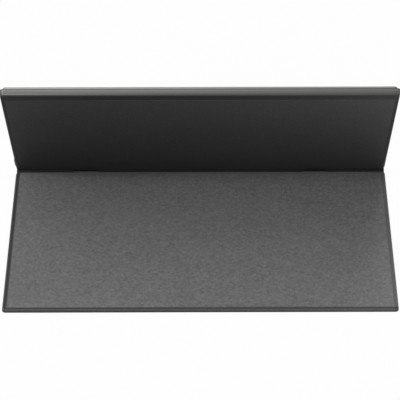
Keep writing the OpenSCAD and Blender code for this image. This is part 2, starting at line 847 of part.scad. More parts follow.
module flap_core() {
    core_z = flap_lining_t;
    side = core_in + fit;
    color("dimgray") difference() {
        slab(-half_w + side, half_w - side, -flap_d / 2 + side, flap_d / 2 - side,
            core_z, core_z + flap_core_t, inner_r);
        leaf_room(fit, core_z - cut, core_z + flap_core_t + cut);
        for (x = magnet_xs)
            block(x - magnet_l / 2 - fit, x + magnet_l / 2 + fit,
                flap_magnet_y - fit, flap_magnet_y + magnet_w + fit, core_z - cut, core_z + flap_core_t + cut);
    }
}

module flap_lining() {
    side = lining_in + fit;
    color([0.09, 0.09, 0.09])
        slab(-half_w + side, half_w - side, -flap_d / 2 + side, flap_d / 2 - side, 0, flap_lining_t, inner_r);
}

module flap_leaf(side) {
    x = side * hinge_x;
    core_z = flap_lining_t;
    color(steel) difference() {
        union() {
            on_flap_axis() along_x(x - flap_leaf_w / 2, x + flap_leaf_w / 2) circle(flap_knuckle_r);
            block(x - flap_leaf_w / 2, x + flap_leaf_w / 2, flap_axis_y - flap_leaf_reach, flap_axis_y,
                core_z, core_z + flap_core_t);
        }
        on_flap_axis() along_x(x - flap_leaf_w / 2 - cut, x + flap_leaf_w / 2 + cut)
            circle(flap_pin_r + pin_clear);
        for (dx = [-rivet_dx, rivet_dx])
            translate([x + dx, flap_axis_y - rivet_reach, core_z - cut])
                cylinder(h = flap_core_t + 2 * cut, r = rivet_r);
    }
}

// Seen from the screen's side, the left hinge is the one at +x.
module flap_leaf_left() flap_leaf(1);

module flap_leaf_right() flap_leaf(-1);

module flap_rivets() {
    color(steel)
        for (x = [-hinge_x, hinge_x], dx = [-rivet_dx, rivet_dx])
            translate([x + dx, flap_axis_y - rivet_reach, flap_lining_t])
                cylinder(h = flap_core_t, r = rivet_r);
}

module flap_magnets() {
    color(steel)
        for (x = magnet_xs)
            block(x - magnet_l / 2, x + magnet_l / 2, flap_magnet_y, flap_magnet_y + magnet_w,
                flap_lining_t, flap_lining_t + flap_core_t);
}

back_skin();
back_adhesive();
rear_housing();
front_bezel();
bezel_bumpers();
display_cell();
diffuser_films();
light_guide();
reflector_sheet();
led_strip();
panel_frame();
backlight_tray();
panel_tape();
driver_board();
cell_flex();
panel_cable();
main_board();
board_shield();
lower_socket();
upper_socket();
key_board();
key_switches();
key_flex();
light_pipe();
board_screws();
leaf_screws();
monitor_leaf_left();
monitor_leaf_right();
closing_magnets();
power_key();
dimmer_key();
brighter_key();
spine_bar();
spine_caps();
monitor_pins();
flap_pins();
monitor_washers();
flap_washers();
flap_skin();
flap_core();
flap_lining();
flap_leaf_left();
flap_leaf_right();
flap_rivets();
flap_magnets();
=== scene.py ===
# %% [markdown]
# # A portable monitor that stands on its own cover
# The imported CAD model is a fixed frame: it already has every board, pin and screw in place, in metres. This file
# adds what solids leave out: soft leather edges, moulded and brushed surfaces, and the light of a small studio.
# Each piece below takes its size from the boxes of the CAD nodes, so no shape has to be fitted by eye.

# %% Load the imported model
import json

import bmesh
import bpy
import numpy as np
from mathutils import Matrix, Vector


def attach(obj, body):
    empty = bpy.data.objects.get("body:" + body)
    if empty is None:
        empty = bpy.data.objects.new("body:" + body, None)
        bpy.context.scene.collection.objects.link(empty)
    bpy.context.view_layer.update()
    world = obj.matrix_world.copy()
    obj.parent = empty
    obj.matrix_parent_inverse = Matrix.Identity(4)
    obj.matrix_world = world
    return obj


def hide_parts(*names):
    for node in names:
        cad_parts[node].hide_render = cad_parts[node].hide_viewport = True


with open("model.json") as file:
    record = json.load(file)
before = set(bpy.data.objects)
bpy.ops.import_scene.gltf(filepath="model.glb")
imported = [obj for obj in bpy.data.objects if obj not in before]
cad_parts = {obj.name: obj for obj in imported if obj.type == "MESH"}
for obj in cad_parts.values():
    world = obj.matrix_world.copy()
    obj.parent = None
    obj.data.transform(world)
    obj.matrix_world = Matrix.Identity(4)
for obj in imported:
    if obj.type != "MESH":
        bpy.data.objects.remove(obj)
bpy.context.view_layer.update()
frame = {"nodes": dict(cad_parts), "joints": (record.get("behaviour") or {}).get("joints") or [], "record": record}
nodes = frame["nodes"]
joints = {joint["name"]: joint for joint in frame["joints"]}
MM = 0.001

# %% [markdown]
# ## Places
# The monitor leans, so its faces are awkward to write down in the row's own axes. A `Place` gives one face its own
# millimetres: across, up, and out towards whoever looks at it. The lean is not typed in: the corners of the screen's
# glass say which way is up, and the upper hinge's axis is the origin.

# %% Millimetres on each face
def node_points(node):
    """The points of a node's mesh in millimetres, one row each."""
    mesh = nodes[node].data
    flat = np.empty(3 * len(mesh.vertices), np.float32)
    mesh.vertices.foreach_get("co", flat)
    return flat.reshape(-1, 3).astype(float) / MM


class Place:
    """One face's own axes: across, up and out, which is the cross product of the other two."""

    def __init__(self, origin, across, up):
        self.origin = np.array(origin, float)
        self.axes = np.array([across, up, np.cross(across, up)], float)

    def world(self, local):
        """The origin plus each coordinate times its direction, in metres."""
        return (self.origin + local @ self.axes) * MM

    def extent(self, node):
        """A node's lowest and highest corner, measured along this place's axes."""
        local = (node_points(node) - self.origin) @ self.axes.T
        return local.min(0), local.max(0)


corners = np.unique(node_points("display_cell").round(3), axis=0)
directions = np.linalg.svd(corners - corners.mean(0), full_matrices=False)[2]
monitor_up = directions[1] * np.sign(directions[1][2])
monitor_axis = np.array(joints["spine_fold"]["pos_m"]) / MM

back = Place(monitor_axis, (1, 0, 0), monitor_up)
front = Place(monitor_axis, (-1, 0, 0), monitor_up)
flap_top = Place((0, 0, 0), (1, 0, 0), (0, 1, 0))
flap_under = Place((0, 0, 0), (-1, 0, 0), (0, 1, 0))
print("the monitor's up direction:", monitor_up.round(3))

# %% [markdown]
# ## The camera
# A camera is a point, three directions and a focal length. These came from the photograph's straight lines: the two
# panels' edges and the fold between them. The object is far away and the lens is long, which keeps the panels'
# sides nearly parallel.

# %% Camera
FRAME_PX = 400
FOCAL_PX = 2815.7
SENSOR_MM = 36.0
CAMERA_AT = np.array([3.6, -1978.4, 1296.7]) * MM
TILT, YAW, ROLL = np.radians([32.407, -0.110, -0.202])

ahead = np.array([np.sin(YAW) * np.cos(TILT), np.cos(YAW) * np.cos(TILT), -np.sin(TILT)])
level = np.cross(ahead, (0, 0, 1))
level /= np.linalg.norm(level)
above = np.cross(level, ahead)
right = np.cos(ROLL) * level + np.sin(ROLL) * above
over = np.cos(ROLL) * above - np.sin(ROLL) * level

lens = bpy.data.cameras.new("camera")
lens.sensor_width = lens.sensor_height = SENSOR_MM
lens.lens = FOCAL_PX / FRAME_PX * SENSOR_MM
lens.clip_start, lens.clip_end = 0.05, 50
camera = bpy.data.objects.new("camera", lens)
turn = Matrix(np.column_stack([right, over, -ahead]).tolist()).to_4x4()
camera.matrix_world = Matrix.Translation(CAMERA_AT.tolist()) @ turn
bpy.context.scene.collection.objects.link(camera)
bpy.context.scene.camera = camera
bpy.context.scene.view_settings.view_transform = "Standard"
print(f"lens {lens.lens:.1f} mm at {np.linalg.norm(CAMERA_AT):.2f} m")

# %% [markdown]
# ## Writing materials as sums
# A material is a graph of small nodes, and a graph of sums is hard to read as code. `Wire` wraps one socket, so that
# `1 - mask * 0.3` adds the Math nodes by itself.

# %% Wires
class Wire:
    """A socket that can be added, subtracted, multiplied and divided: each adds a Math node."""

    def __init__(self, finish, socket):
        self.finish, self.socket = finish, socket

    def math(self, operation, *values):
        return self.finish.node("ShaderNodeMath", {"operation": operation}, dict(enumerate(values)))

    def __add__(self, other):
        return self.math("ADD", self, other)

    def __radd__(self, other):
        return self.math("ADD", other, self)

    def __sub__(self, other):
        return self.math("SUBTRACT", self, other)

    def __rsub__(self, other):
        return self.math("SUBTRACT", other, self)

    def __mul__(self, other):
        return self.math("MULTIPLY", self, other)

    def __rmul__(self, other):
        return self.math("MULTIPLY", other, self)

    def __truediv__(self, other):
        return self.math("DIVIDE", self, other)

    def triangle(self):
        """A wave of straight lines, from 0 to 1 and back for each unit."""
        return self.math("PINGPONG", self, 0.5) * 2

    def most(self, other):
        return self.math("MAXIMUM", self, other)

    def least(self, other):
        return self.math("MINIMUM", self, other)

    def size(self):
        return self.math("ABSOLUTE", self)

    def above(self, edge, soft):
        """0 below the edge and 1 above it, with a smooth step that is `soft` wide."""
        limits = {"Value": self, "From Min": edge - soft / 2, "From Max": edge + soft / 2}
        return self.finish.node("ShaderNodeMapRange", {"interpolation_type": "SMOOTHSTEP"}, limits)


print("sockets can be summed")

# %% [markdown]
# ## One class for every finish
# Each finish needs a shader, an output and the same few kinds of node. `Finish.node` makes any node from its type,
# its settings and what goes into its sockets, and the other methods are short names for the ones used most. A
# pattern reads the object's own coordinates, so it stays on the piece when the piece moves.

# %% Finishes
NOISE_ROUGHNESS = 0.55
FACTOR, FROM_COLOUR, TO_COLOUR, MIXED = 0, 6, 7, 2   # a Mix node's sockets for colours


class Finish:
    """A material with one principled shader, and short names for the nodes that its patterns use."""

    def __init__(self, name, **constants):
        self.material = bpy.data.materials.new(name)
        self.material.use_nodes = True
        self.tree = self.material.node_tree
        self.tree.nodes.clear()
        shader = self.node("ShaderNodeBsdfPrincipled", inputs=constants)
        self.shader = shader.socket.node
        self.node("ShaderNodeOutputMaterial", inputs={"Surface": shader})
        self.where = self.node("ShaderNodeTexCoord", output="Object")

    def node(self, kind, settings=None, inputs=None, output=0):
        """Adds a node: its settings first, then the values or links of its sockets."""
        made = self.tree.nodes.new(kind)
        for key, value in (settings or {}).items():
            setattr(made, key, value)
        for key, value in (inputs or {}).items():
            if isinstance(value, Wire):
                self.tree.links.new(value.socket, made.inputs[key])
            else:
                made.inputs[key].default_value = value
        return Wire(self, made.outputs[output]) if made.outputs else None

    def on(self, place):
        """The three coordinates of a place, in millimetres: each is a dot product with one of its directions."""
        found = []
        for direction in place.axes:
            vector = {0: self.where, 1: (direction / MM).tolist()}
            dot = self.node("ShaderNodeVectorMath", {"operation": "DOT_PRODUCT"}, vector, "Value")
            found.append(dot - float(direction @ place.origin))
        return found

    def noise(self, size, detail=3.0, stretch=1):
        """Cloudy noise with spots about `size` millimetres wide, drawn out `stretch` times along the hinges' axis."""
        where = self.where
        if stretch != 1:
            where = self.node("ShaderNodeMapping", inputs={"Vector": where, "Scale": (1 / stretch, 1.0, 1.0)})
        values = {"Vector": where, "Scale": 1 / (size * MM), "Detail": detail, "Roughness": NOISE_ROUGHNESS}
        return self.node("ShaderNodeTexNoise", inputs=values)

    def cells(self, size):
        """The distance from the middle of Voronoi cells about `size` millimetres wide."""
        return self.node("ShaderNodeTexVoronoi", inputs={"Vector": self.where, "Scale": 1 / (size * MM)})

    def mix(self, low, high, factor):
        """One colour where factor is 0 and the other where it is 1. Past 1 it goes on in the same direction."""
        def colour(value):
            return value if isinstance(value, Wire) else (*value, 1.0)
        values = {FACTOR: factor, FROM_COLOUR: colour(low), TO_COLOUR: colour(high)}
        return self.node("ShaderNodeMix", {"data_type": "RGBA", "clamp_factor": False}, values, MIXED)

    def grey(self, value, tint):
        """A number as a colour: black where it is 0 and the tint where it is 1."""
        return self.mix((0, 0, 0), tint, value)

    def wear(self, colour=None, rough=None, metal=None, coat=None, height=None, depth=0.05):
        """Plugs the patterns into the shader. Height is 0 to 1, over a depth in millimetres."""
        for key, value in {"Base Color": colour, "Roughness": rough, "Metallic": metal, "Coat Weight": coat}.items():
            if value is not None:
                self.tree.links.new(value.socket, self.shader.inputs[key])
        if height is not None:
            bump = self.node("ShaderNodeBump", inputs={"Height": height, "Distance": depth * MM, "Strength": 1.0})
            self.tree.links.new(bump.socket, self.shader.inputs["Normal"])
        return self


print("finishes can be written as sums")

# %% [markdown]
# ## The cover's skin
# The cover is a coated leather-like sheet, embossed with a fine diagonal cross-hatch. Two families of slanting
# ridges cross each other, and the higher one wins at each point. The lines are drawn in the face's own
# millimetres, so they are as wide on the leaning panel as on the flap. Slow noise keeps the lines from looking ruled,
# and the valleys are a little darker, which is painted shade. The broad tones follow the light and dark of the
# photograph and are painted shade too: the flap has a darker pressed line and rim, mostly at the left and the front,
# and the panel is darker than the flap and darkens towards the fold.

# %% Grained skin
HATCH_PITCH = 1.9    # between two lines of one family, in mm
HATCH_DEPTH = 0.075
FALLING = 0.85       # strength of the lines along x - y, with those along x + y at 1
PRESS_IN, PRESS_W, PRESS_D = 1.2, 2.4, 0.5   # the pressed line's near side, width and depth, in mm
# The next two shares scale painted shade: on the rim, and at the right and the back.
RIM_SHADE_SHARE = 0.7      # how dark the rim outside the pressed line is, with the line at 1
FAR_SHADE_SHARE = 0.33     # how dark both are at the right and the back, with the left and the front at 1


def pressed_line_shade(tone, inset, dark):
    """The tone times 1 - dark on the pressed line, and a little less dark outside it: painted shade in the line and on
    the rim. `inset` is the distance from the sheet's edge."""
    line = 1 - (inset - (PRESS_IN + PRESS_W / 2)).size().above(PRESS_W / 2, 1.0)
    rim = 1 - inset.above(PRESS_IN, 0.6)
    return tone * (1 - line * dark) * (1 - rim * (dark * RIM_SHADE_SHARE))


def grained_skin(name, place, node, tint, mottle, fold_shade, line_shade):
    """Height is the larger of two triangle waves, along x + y and x - y. Noise bends the lines and breaks them up.
    The tone is that height plus small spots, as strong as `mottle`, and slow clouds; the height in it is painted shade
    in the valleys. It falls evenly from 1 at the top edge to `fold_shade` at the fold, which is painted shade.
    `line_shade` is how dark the painted shade on the pressed line is at the left and the front. A skin without a
    pressed line is darker along its two side edges instead."""
    finish = Finish(name, **{"Specular IOR Level": 0.12})
    low, high = place.extent(node)
    x, y, _ = finish.on(place)
    bend = finish.noise(9.0, detail=2.0) * 0.7
    step = HATCH_PITCH * np.sqrt(2)
    rising = ((x + y) / step + bend).triangle()
    falling = ((x - y) / step - bend).triangle()
    broken = finish.noise(1.1, detail=2.0)
    hatch = rising.most(falling * FALLING) * (0.65 + broken * 0.7)
    # The hatch in this tone darkens the valleys, which is painted shade. The spots are the skin's own tone.
    grain_and_valley_shade = hatch * 0.5 + (finish.noise(1.9, detail=0.0) - 0.5) * mottle
    tone = 0.66 + grain_and_valley_shade + finish.noise(60.0, detail=4.0) * 0.16
    if line_shade:
        flat = 1 - (high[0] - x.size()).least((high[1] - y).least(y - low[1])).above(PRESS_IN + PRESS_W, 1.0)
        tone = tone - (grain_and_valley_shade - 0.25) * flat * 0.7
        # Painted shade on the pressed line and the rim, weaker at the right and the back.
        tone = pressed_line_shade(tone, (x - low[0]).least(y - low[1]), line_shade)
        tone = pressed_line_shade(tone, (high[0] - x).least(high[1] - y), line_shade * FAR_SHADE_SHARE)
    else:
        # The skin is darker along its two side edges.
        darker_side_edges = 1 - (high[0] - x.size()).above(0.9, 0.6)
        tone = tone * (1 - darker_side_edges * 0.6)
    # Painted shade: the tone falls towards the fold, where the flap and the panel shade each other.
    if fold_shade < 1:
        tone = tone * (fold_shade + (y - low[1]) * ((1 - fold_shade) / (high[1] - low[1])))
    rough = 0.7 - hatch * 0.1 + finish.noise(14.0) * 0.12
    return finish.wear(finish.grey(tone, tint), rough, height=hatch, depth=HATCH_DEPTH).material


# The panel's tint is darker than the flap's, though both are the same skin: painted shade on the panel, which faces
# down.
panel_grain_painted_shade = grained_skin("panel_grain_painted_shade", back, "back_skin", (0.074, 0.0735, 0.0752),
    mottle=0.4, fold_shade=0.54, line_shade=0)
flap_grain = grained_skin("flap_grain", flap_top, "flap_skin", (0.135, 0.1345, 0.1365),
    mottle=0.75, fold_shade=1, line_shade=0.66)
print(f"hatch lines every {HATCH_PITCH} mm, {HATCH_DEPTH} mm deep")

# %% [markdown]
# ## Moulded plastic, metal and film
# Most of the other finishes are one of three kinds. Moulded plastic carries the spark-eroded texture of its mould:
# tiny rounded bumps. The casing and the bezel add a low-gloss coat on their upper side, which catches the light as a
# bright band; that side is also painted lighter, and on the casing this painted light fades towards the back edge.
# Metal is scratched along one direction, which is noise stretched a hundredfold; screws and magnets have the same
# noise unstretched. Film and board are nearly plain, with faint clouds and specks.

# %% Three kinds of finish
def mould_texture(finish, spot):
    """Bumps about `spot` millimetres wide, a slow change over the piece, and a tone that follows both."""
    texture = finish.noise(spot, detail=2.0)
    slow = finish.noise(35.0, detail=3.0)
    return texture, slow, 0.86 + texture * 0.12 + slow * 0.16


def moulded(name, tint, rough=0.5, spot=0.45, depth=0.02, specular=0.4):
    """The mould's texture, with a slow change of gloss."""
    finish = Finish(name, **{"Specular IOR Level": specular})
    texture, slow, tone = mould_texture(finish, spot)
    return finish.wear(finish.grey(tone, tint), rough - 0.06 + slow * 0.12, height=texture, depth=depth).material


def painted_light_satin_top(name, tint, node, painted_falloff=0.0, seam=0.0):
    """Moulded plastic whose upper side is lighter, which is painted light, and has a low-gloss coat. Both are full
    above a line 1 mm below the top of the node, and fade by `painted_falloff` from that side's screen edge to its back
    edge. `seam` is
    how dark the screen edge itself is: painted shade along the seam."""
    finish = Finish(name, **{"Specular IOR Level": 0.12, "Coat Roughness": 0.3})
    low, high = back.extent(node)
    _, y, z = finish.on(back)
    texture, slow, tone = mould_texture(finish, 0.45)
    # Painted shade in the seam between the casing and the bezel: the casing is darker along its screen edge.
    clear = 1 - (1 - (z - low[2]).above(0.6, 0.5)) * seam
    satin_and_painted_light = y.above(high[1] - 1.0, 0.8) * (1 - (z - low[2]) * (painted_falloff / (high[2] - low[2]))) * clear
    # Painted light: the upper side is made lighter, fading towards its back edge. The coat on it is the plastic's own
    # gloss.
    colour = finish.grey(tone * (0.55 + satin_and_painted_light * 0.95) * clear, tint)
    return finish.wear(colour, 0.68 + slow * 0.12, coat=satin_and_painted_light, height=texture, depth=0.02).material


def metal(name, tint, rough, stretch=100):
    """Scratches are noise drawn out along one axis; stains are slow noise."""
    finish = Finish(name, **{"Metallic": 1.0})
    scratches = finish.noise(0.25, detail=4.0, stretch=stretch)
    stains = finish.noise(12.0, detail=4.0)
    colour = finish.grey(0.8 + scratches * 0.22 + stains * 0.12, tint)
    gloss = rough - 0.08 + scratches * 0.14 + stains * 0.08
    return finish.wear(colour, gloss, height=scratches, depth=0.006).material


def film(name, tint, rough=0.45, spot=3.0, **constants):
    """A sheet with faint clouds and darker specks."""
    finish = Finish(name, **constants)
    cloud = finish.noise(spot * 6, detail=5.0)
    specks = finish.noise(spot * 0.2, detail=1.0).above(0.68, 0.08)
    colour = finish.grey(0.93 + cloud * 0.12 - specks * 0.08, tint)
    return finish.wear(colour, rough - 0.05 + cloud * 0.1, height=cloud, depth=0.03).material


print("plastic, metal and film are ready")

# %% [markdown]
# ## One finish for each slot
# The record names a material slot for each node. This table gives each slot its finish. The crease of the photograph
# is almost black, so the spine and the hinges that lie in it are darker here than bare metal would be: that near-black
# colour is painted shade.

# %% Finishes by slot
finishes = {
    "casing": painted_light_satin_top("casing_plastic", (0.077, 0.0775, 0.0755), "rear_housing", painted_falloff=0.9, seam=0.5),
    "bezel": painted_light_satin_top("bezel_plastic", (0.155, 0.156, 0.152), "front_bezel"),
    "switch_black": moulded("switch_plastic", (0.03, 0.03, 0.03), rough=0.4),
    "bumper": moulded("bumper_rubber", (0.03, 0.03, 0.03), rough=0.75, spot=0.3, specular=0.2),
    "tray_steel": metal("pressed_steel", (0.6, 0.61, 0.62), 0.32),
    # Painted shade: the hinges lie in the dark crease, so their steel is made near-black.
    "hinge_steel": metal("hinge_steel_painted_shade", (0.05, 0.05, 0.052), 0.42),
    "screw_steel": metal("blackened_steel", (0.3, 0.3, 0.31), 0.36, stretch=1),
    "magnet": metal("plated_magnet", (0.6, 0.6, 0.62), 0.18, stretch=1),
    # Painted shade: the spine lies in the crease, so its colour is made near-black.
    "spine": moulded("anodised_spine_painted_shade", (0.011, 0.011, 0.0115), rough=0.6, spot=0.2, depth=0.008, specular=0.12),
    "film": film("white_film", (0.85, 0.86, 0.87)),
    "clear": film("clear_guide", (0.85, 0.9, 0.92), rough=0.12, **{"Transmission Weight": 0.85, "IOR": 1.49}),
    "board": film("greyboard", (0.22, 0.21, 0.2), rough=0.85, spot=0.8),
}
print(f"{len(finishes)} finishes so far")

# %% [markdown]
# ## Microfibre
# The flap is lined with brushed microfibre: short fibres lean in patches, so it has soft darker and lighter clouds.

# %% Lining cloth
def microfibre():
    """Two noises: fibres a third of a millimetre wide, and patches where the nap leans."""
    finish = Finish("microfibre", **{"Specular IOR Level": 0.1, "Sheen Weight": 0.35, "Sheen Roughness": 0.5})
    fibres = finish.noise(0.35, detail=3.0)
    nap = finish.noise(28.0, detail=4.0).above(0.5, 0.3)
    colour = finish.grey(0.7 + fibres * 0.45 + nap * 0.2, (0.06, 0.06, 0.062))
    return finish.wear(colour, 0.82 + nap * 0.1, height=fibres + nap * 0.4, depth=0.12).material


finishes["lining"] = microfibre()
print("lining cloth ready")

# %% [markdown]
# ## Screen glass
# The glass is etched against glare, with a black border printed outside the lit area. The border is a mask made from
# the distances to the four edges, so it needs no seam in the mesh.

# %% Screen glass
LIT_EDGE = 1.6     # black border outside the lit area, sides and top
LIT_LEDGE = 5.5    # the same below it
cell_low, cell_high = front.extent("display_cell")
lit_low = cell_low[:2] + (LIT_EDGE, LIT_LEDGE)
lit_high = cell_high[:2] - LIT_EDGE


def etched_glass():
    """A box mask for the lit area: inside, the dark cell; outside, black print. Fine noise is the etching."""
    finish = Finish("etched_glass", **{"Specular IOR Level": 0.5, "Coat Roughness": 0.2})
    x, y, _ = finish.on(front)
    inside = (lit_high[0] - x.size()).least((lit_high[1] - y).least(y - lit_low[1])).above(0.1, 0.2)
    etching = finish.noise(0.12, detail=2.0)
    smear = finish.noise(70.0, detail=5.0)
    colour = finish.mix((0.004, 0.004, 0.004), (0.012, 0.013, 0.016), inside)
    rough = 0.26 + etching * 0.1 + smear * 0.08
    return finish.wear(colour, rough, height=etching, depth=0.004).material


finishes["screen"] = etched_glass()
print(f"lit area {lit_high[0] - lit_low[0]:.1f} x {lit_high[1] - lit_low[1]:.1f} mm")

# %% [markdown]
# ## Circuits
# These lie inside, but a reader who takes the monitor apart will see them. Circuit boards have copper tracks that
# show through the green resist, flat cables have fine copper lines under amber film, and the light diodes sit on a
# white strip. All three are repeated lines, so triangle waves and a step draw them.

# %% Circuit boards, cables and light diodes
def circuit_board():
    """Tracks are lines 0.9 mm apart, broken about every 7 mm; round vias sit in the middle of Voronoi cells."""
    finish = Finish("circuit_board", **{"Specular IOR Level": 0.5})
    x, y, _ = finish.on(front)
    tracks = (x / 0.9).triangle().above(0.7, 0.1) * (y / 7.0 + finish.noise(5.0) * 1.5).triangle().above(0.4, 0.05)
    vias = 1 - finish.cells(1.6).above(0.16, 0.05)
    colour = finish.mix((0.02, 0.09, 0.05), (0.045, 0.2, 0.11), tracks)
    colour = finish.mix(colour, (0.6, 0.47, 0.2), vias)
    return finish.wear(colour, 0.35 + tracks * 0.12, metal=vias * 0.9, height=tracks + vias, depth=0.03).material


def flat_cable():
    """Copper lines every millimetre along the cable, seen through amber film."""
    finish = Finish("flat_cable", **{"Specular IOR Level": 0.5})
    x, _, _ = finish.on(front)
    lines = x.triangle().above(0.5, 0.15)
    cloud = finish.noise(8.0)
    colour = finish.mix((0.42, 0.2, 0.045), (0.62, 0.36, 0.1), lines * (0.7 + cloud * 0.3))
    return finish.wear(colour, 0.25 + cloud * 0.1, height=lines, depth=0.02).material


def light_diodes():
    """A white strip with yellow faces every 4 mm along its upper edge."""
    finish = Finish("light_diodes", **{"Specular IOR Level": 0.4})
    x, y, _ = finish.on(front)
    strip_top = front.extent("led_strip")[1][1]
    face = (x / 4.0).triangle().above(0.4, 0.1) * (y - strip_top).above(-1.1, 0.1)
    speck = finish.noise(0.5)
    colour = finish.mix((0.72, 0.72, 0.69), (0.78, 0.58, 0.12), face)
    return finish.wear(colour, 0.35 + speck * 0.2, height=speck, depth=0.02).material


finishes["circuit"] = circuit_board()
finishes["flex"] = flat_cable()
finishes["led"] = light_diodes()
print(f"{len(finishes)} finishes by slot")

# %% [markdown]
# ## Sockets
# A socket is plated metal outside, with a black tongue and gold contacts inside. Each one needs a finish of its own,
# because the tongue's mask is measured from the middle of that socket.

# %% Socket finishes
TONGUE_T, TONGUE_W = 0.45, 3.4     # half the tongue's thickness and width, in mm
CONTACT_PITCH, CONTACTS_W = 0.5, 3.0


def socket_mouth(name, node):
    """The tongue is a box mask round the socket's middle line, and the contacts on it are a triangle wave."""
    finish = Finish(name, **{"Specular IOR Level": 0.5})
    _, y, z = finish.on(front)
    middle = sum(front.extent(node)) / 2
    y, z = y - float(middle[1]), z - float(middle[2])
    tongue = 1 - (z.size() - TONGUE_T).most(y.size() - TONGUE_W).above(0, 0.05)
    contacts = tongue * (y / CONTACT_PITCH).triangle().above(0.5, 0.1) * (1 - y.size().above(CONTACTS_W, 0.1))
    stain = finish.noise(6.0)
    colour = finish.mix(finish.grey(0.85 + stain * 0.2, (0.6, 0.6, 0.58)), (0.015, 0.015, 0.015), tongue)
    colour = finish.mix(colour, (0.62, 0.42, 0.12), contacts)
    return finish.wear(colour, 0.26 + stain * 0.1, metal=1 - tongue + contacts, height=contacts, depth=0.02).material


socket_finishes = {node: socket_mouth(f"{node}_mouth", node) for node in ("lower_socket", "upper_socket")}
print(f"{len(socket_finishes)} socket finishes")

# %% [markdown]
# ## Surfaces from rings
# Every sheet-like piece here is a rounded rectangle with a particular edge. So one shape does most of the work: a
# closed loop round the rectangle, copied once for each point of an edge profile, moved in and out and up and down.

# %% Loops and profiles
HALF_ARC = 3           # segments in half of each rounded corner
LEAST_RADIUS = 0.15    # a corner never shrinks below this, in mm


def rounded(box, radius, spans):
    """A loop anticlockwise round a box (x0, y0, x1, y1). Each side is half an arc, a straight line split evenly,
    and half an arc; an arc's points are its centre plus radius times (cos a, sin a). The radius is one number, or
    four for the corners, anticlockwise from the lower left."""
    x0, y0, x1, y1 = box
    radii = np.broadcast_to(radius, 4)
    turn = np.linspace(0, np.pi / 4, HALF_ARC + 1)
    sides = []
    for quarter in range(4):
        along, across = (x1 - x0, y1 - y0)[:: 1 if quarter % 2 == 0 else -1]
        one, two = radii[quarter], radii[(quarter + 1) % 4]
        begin = one * np.column_stack([1 + np.cos(turn - 0.75 * np.pi), 1 + np.sin(turn - 0.75 * np.pi)])
        end = two * np.column_stack([np.cos(turn - 0.5 * np.pi) - 1, 1 + np.sin(turn - 0.5 * np.pi)])
        begin, end = begin - (along / 2, across / 2), end + (along / 2, -across / 2)
        line = np.linspace(begin[-1], end[0], spans[quarter % 2] + 1)[1:-1]
        side = np.vstack([begin, line, end])[:-1]
        c, s = np.cos(quarter * np.pi / 2).round(), np.sin(quarter * np.pi / 2).round()
        sides.append(side @ np.array([[c, s], [-s, c]]))
    return np.vstack(sides) + ((x0 + x1) / 2, (y0 + y1) / 2)


def softened(points, radii, steps=4):
    """A path of straight lines with arcs for corners. An arc of radius r touches both lines at r / tan(half the
    angle) from the corner, and its points swing from one touching point to the other about its centre."""
    points = np.array(points, float)
    path = [points[:1]]
    for before, corner, after, radius in zip(points, points[1:], points[2:], radii):
        one, two = before - corner, after - corner
        one, two = one / np.linalg.norm(one), two / np.linalg.norm(two)
        half = np.arccos(np.clip(one @ two, -1, 1)) / 2
        reach = radius / np.tan(half)
        centre = corner + (one + two) / np.linalg.norm(one + two) * radius / np.sin(half)
        swing = np.pi - 2 * half
        share = np.linspace(0, 1, steps + 1)[:, None]
        first, last = corner + one * reach - centre, corner + two * reach - centre
        path.append(centre + (np.sin((1 - share) * swing) * first + np.sin(share * swing) * last) / np.sin(swing))
    path.append(points[-1:])
    return np.vstack(path)


def rings(box, radius, profile, spans):
    """One loop for each (inset, height) of a profile; a corner's radius shrinks as the loop moves in."""
    x0, y0, x1, y1 = box
    loops = []
    for inset, height in profile:
        smaller = np.maximum(np.subtract(radius, inset), LEAST_RADIUS)
        loop = rounded((x0 + inset, y0 + inset, x1 - inset, y1 - inset), smaller, spans)
        loops.append(np.column_stack([loop, np.full(len(loop), height)]))
    return np.array(loops)


print(f"a corner has {2 * HALF_ARC} segments")

# %% [markdown]
# ## Flat middles
# The last loop still has to be closed. A Coons patch blends its four sides into one grid, so the middle is made of
# neat four-sided faces that can swell a little, where a single big face could not.

# %% Patches and faces
EDGE_FADE = 8    # a swell is full from about a seventh of the way in


def patch(loop, spans, swell=None):
    """A Coons patch: the two side curves blended across, plus the two end curves blended up, less the corners
    blended both ways. `swell` adds a height that fades to nothing at the loop."""
    counts = [spans[0] + 2 * HALF_ARC, spans[1] + 2 * HALF_ARC] * 2
    stops = np.cumsum([0] + counts)
    closed = np.vstack([loop, loop[:1]])
    bottom, right_side, top, left_side = [closed[a:b + 1] for a, b in zip(stops, stops[1:])]
    top, left_side = top[::-1], left_side[::-1]
    s = np.linspace(0, 1, len(bottom))[:, None, None]
    t = np.linspace(0, 1, len(left_side))[None, :, None]
    ends = (1 - t) * bottom[:, None] + t * top[:, None]
    sides = (1 - s) * left_side[None] + s * right_side[None]
    blend = (1 - s) * ((1 - t) * bottom[0] + t * top[0]) + s * ((1 - t) * bottom[-1] + t * top[-1])
    grid = ends + sides - blend
    if swell is not None:
        fade = np.clip(EDGE_FADE * s * (1 - s), 0, 1) * np.clip(EDGE_FADE * t * (1 - t), 0, 1)
        grid[..., 2] += swell(grid[..., 0], grid[..., 1]) * fade[..., 0]
    return grid


def quads(rows, columns, wrap):
    """Four-sided faces between neighbours of a grid; with wrap, the last column joins the first."""
    row = np.arange(rows - 1)[:, None] * columns
    column = np.arange(columns if wrap else columns - 1)[None, :]
    after = (column + 1) % columns
    return np.stack([row + column, row + after, row + columns + after, row + columns + column], -1).reshape(-1, 4)


print("patches ready")

# %% [markdown]
# ## Making a piece
# Grids that meet share a rim, so their doubled points are merged, and the faces are then turned outwards. Edges
# sharper than a limit stay sharp; everything else is shaded smooth.

# %% Pieces
SHARP, FLAT = np.radians(38), np.radians(0.5)
MERGE = 1e-6    # in metres


